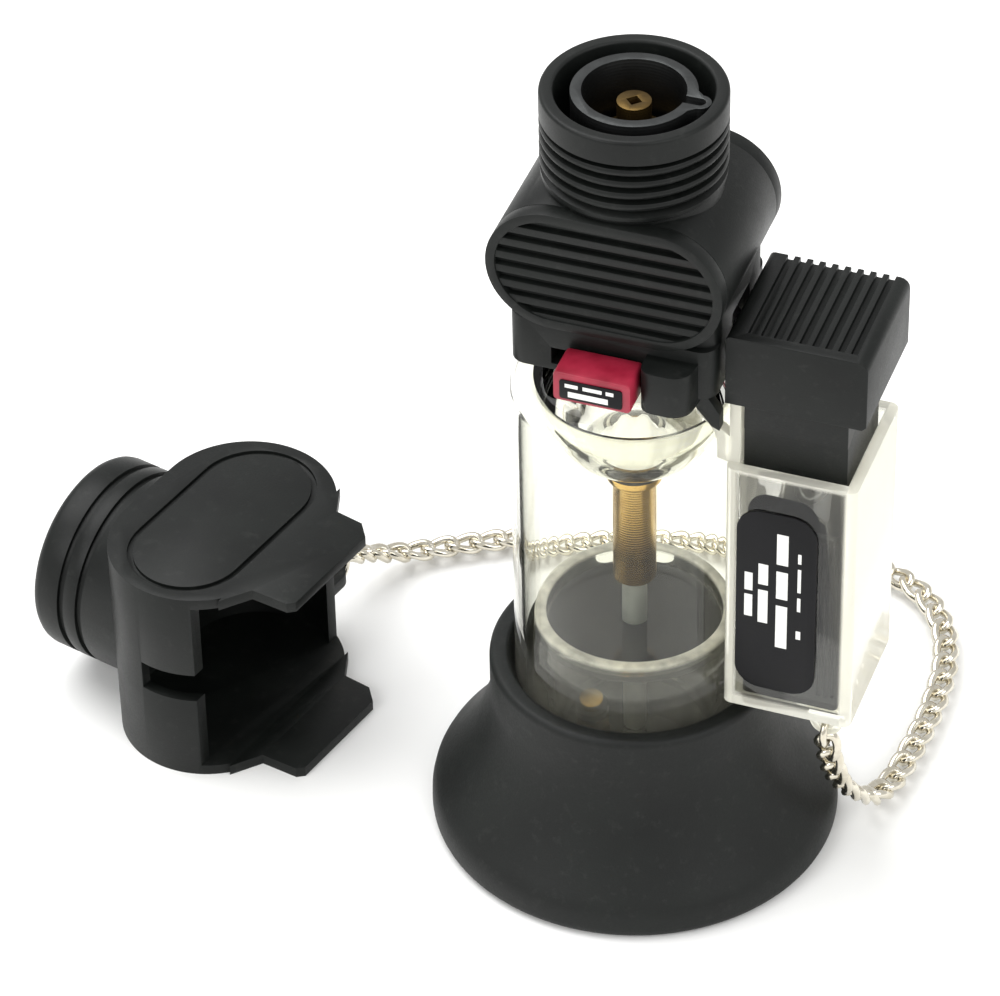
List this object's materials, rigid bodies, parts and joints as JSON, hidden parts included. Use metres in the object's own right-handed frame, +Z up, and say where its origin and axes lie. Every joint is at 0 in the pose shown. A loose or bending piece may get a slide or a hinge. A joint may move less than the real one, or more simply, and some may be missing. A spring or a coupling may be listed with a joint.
{
  "type": "pocket butane torch",
  "caption": "Hand torch with a clear fuel tank, a black head and flame cup, a trigger igniter in a clear case, a flared foot, and a loose cap held by a chain.",
  "frame": {"origin": "centre of the foot's underside, on the tank's axis, at table level", "axes": "+Z up along the tank, +X from the tank to the igniter case, -Y towards the labelled front"},
  "size_m": [0.1069, 0.075, 0.1037],
  "materials": {
    "black_rubber": "matt moulded rubber",
    "clear_plastic": "clear moulded plastic",
    "brass": "turned brass, slightly dulled",
    "seal_rubber": "smooth seal rubber",
    "tube_plastic": "grey nylon tube",
    "white_nut": "bright white moulding",
    "label_black": "printed film label",
    "nickel": "nickel plated steel",
    "dark_plastic": "dark moulded plastic",
    "cream_plastic": "cream moulded plastic",
    "spring_steel": "drawn spring steel",
    "black_plastic": "fine matt texture",
    "red_plastic": "moulded red plastic",
    "burner_metal": "oxidised dark metal",
    "white_ceramic": "glazed insulator"
  },
  "bodies": {
    "torch": {"tank_shell": "clear_plastic", "tank_floor": "clear_plastic", "filler_valve": "brass", "filler_seal": "seal_rubber", "dip_tube": "tube_plastic", "valve_body": "brass", "valve_seal": "seal_rubber", "valve_nut": "white_nut", "igniter_case": "clear_plastic", "case_label": "label_black", "case_ring": "nickel", "piezo_body": "dark_plastic", "trigger_spring": "spring_steel", "ignition_lead": "seal_rubber", "lever_pin": "spring_steel", "head_body": "black_plastic", "front_cover": "black_plastic", "rear_cover": "black_plastic", "flame_cup": "black_plastic", "burner_shield": "burner_metal", "burner_tube": "brass", "gas_jet": "brass", "flame_nozzle": "brass", "electrode": "spring_steel", "electrode_sleeve": "white_ceramic", "chain": "nickel"},
    "foot": {"foot_stand": "black_rubber"},
    "trigger": {"trigger": "black_plastic", "piezo_plunger": "cream_plastic"},
    "gas_lever": {"gas_lever": "spring_steel"},
    "valve_pin": {"valve_pin": "brass"},
    "lock": {"lock_slide": "red_plastic", "lock_label": "label_black"},
    "cap": {"cap_shell": "black_plastic", "cap_ring": "nickel"}
  },
  "joints": [
    {"name": "trigger_press", "type": "slide", "parent": "torch", "child": "trigger", "axis": [0, 0, -1], "range_m": [0, 0.006], "stiffness_N_per_m": 1500, "springref_m": -0.002, "deforming": ["trigger_spring"]},
    {"name": "gas_lever_swing", "type": "hinge", "parent": "torch", "child": "gas_lever", "pos_m": [0.0096, 0, 0.076], "axis": [0, 1, 0], "range_deg": [0, 12.5]},
    {"name": "valve_lift", "type": "slide", "parent": "torch", "child": "valve_pin", "axis": [0, 0, 1], "range_m": [0, 0.0024]},
    {"name": "lock_slide", "type": "slide", "parent": "torch", "child": "lock", "axis": [-1, 0, 0], "range_m": [0, 0.003]},
    {"name": "foot_pull", "type": "slide", "parent": "torch", "child": "foot", "axis": [0, 0, -1], "range_m": [0, 0.018]},
    {"name": "cap_lift", "type": "slide", "parent": "torch", "child": "cap", "axis": [0, 0, 1], "range_m": [0, 0.03]}
  ],
  "couplings": [
    {"joint": "gas_lever_swing", "follows": "trigger_press", "rad_per_m": 36.3},
    {"joint": "valve_lift", "follows": "trigger_press", "ratio": 0.4}
  ]
}
